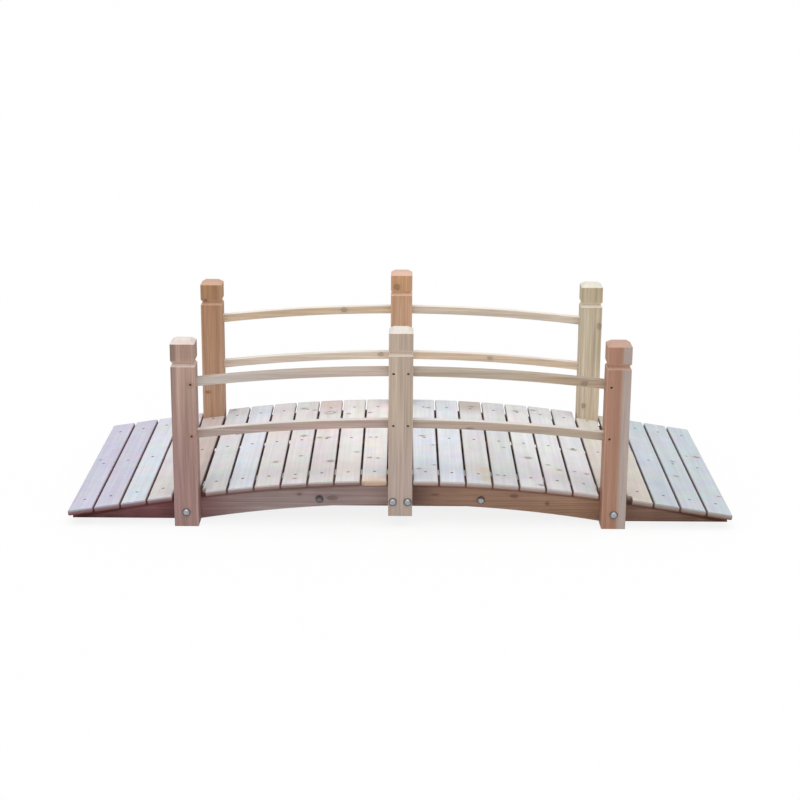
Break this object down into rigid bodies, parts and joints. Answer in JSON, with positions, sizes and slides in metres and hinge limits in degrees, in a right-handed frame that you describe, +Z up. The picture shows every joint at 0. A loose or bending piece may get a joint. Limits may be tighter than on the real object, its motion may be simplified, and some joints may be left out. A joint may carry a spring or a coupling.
{
  "type": "garden moon bridge",
  "caption": "Small unpainted wooden garden bridge with a bowed plank deck, grooved square posts and two curved rails along each side.",
  "frame": {"origin": "on the ground at the middle of the bridge's length and width", "axes": "+X along the bridge, +Y across it to the back railing, +Z up"},
  "size_m": [1.5224, 0.674, 0.465],
  "materials": {
    "deck_board": "dry sawn, bleached",
    "post": "dry planed",
    "rail": "dry planed",
    "stringer": "dry planed",
    "splice": "dry planed",
    "fastener": "dull zinc plate"
  },
  "bodies": {
    "root": {"front_left_post": "post", "front_middle_post": "post", "front_right_post": "post", "front_left_upper_rail": "rail", "front_left_lower_rail": "rail", "front_right_upper_rail": "rail", "front_right_lower_rail": "rail", "back_left_post": "post", "back_middle_post": "post", "back_right_post": "post", "back_left_upper_rail": "rail", "back_left_lower_rail": "rail", "back_right_upper_rail": "rail", "back_right_lower_rail": "rail", "front_left_stringer": "stringer", "front_right_stringer": "stringer", "front_splice": "splice", "middle_left_stringer": "stringer", "middle_right_stringer": "stringer", "middle_splice": "splice", "back_left_stringer": "stringer", "back_right_stringer": "stringer", "back_splice": "splice", "deck_board_01": "deck_board", "deck_board_02": "deck_board", "deck_board_03": "deck_board", "deck_board_04": "deck_board", "deck_board_05": "deck_board", "deck_board_06": "deck_board", "deck_board_07": "deck_board", "deck_board_08": "deck_board", "deck_board_09": "deck_board", "deck_board_10": "deck_board", "deck_board_11": "deck_board", "deck_board_12": "deck_board", "deck_board_13": "deck_board", "deck_board_14": "deck_board", "deck_board_15": "deck_board", "deck_board_16": "deck_board", "deck_board_17": "deck_board", "deck_board_18": "deck_board", "deck_board_19": "deck_board", "deck_board_20": "deck_board", "deck_board_21": "deck_board", "deck_board_22": "deck_board", "deck_board_23": "deck_board", "deck_board_24": "deck_board", "deck_board_25": "deck_board"}
  },
  "joints": []
}
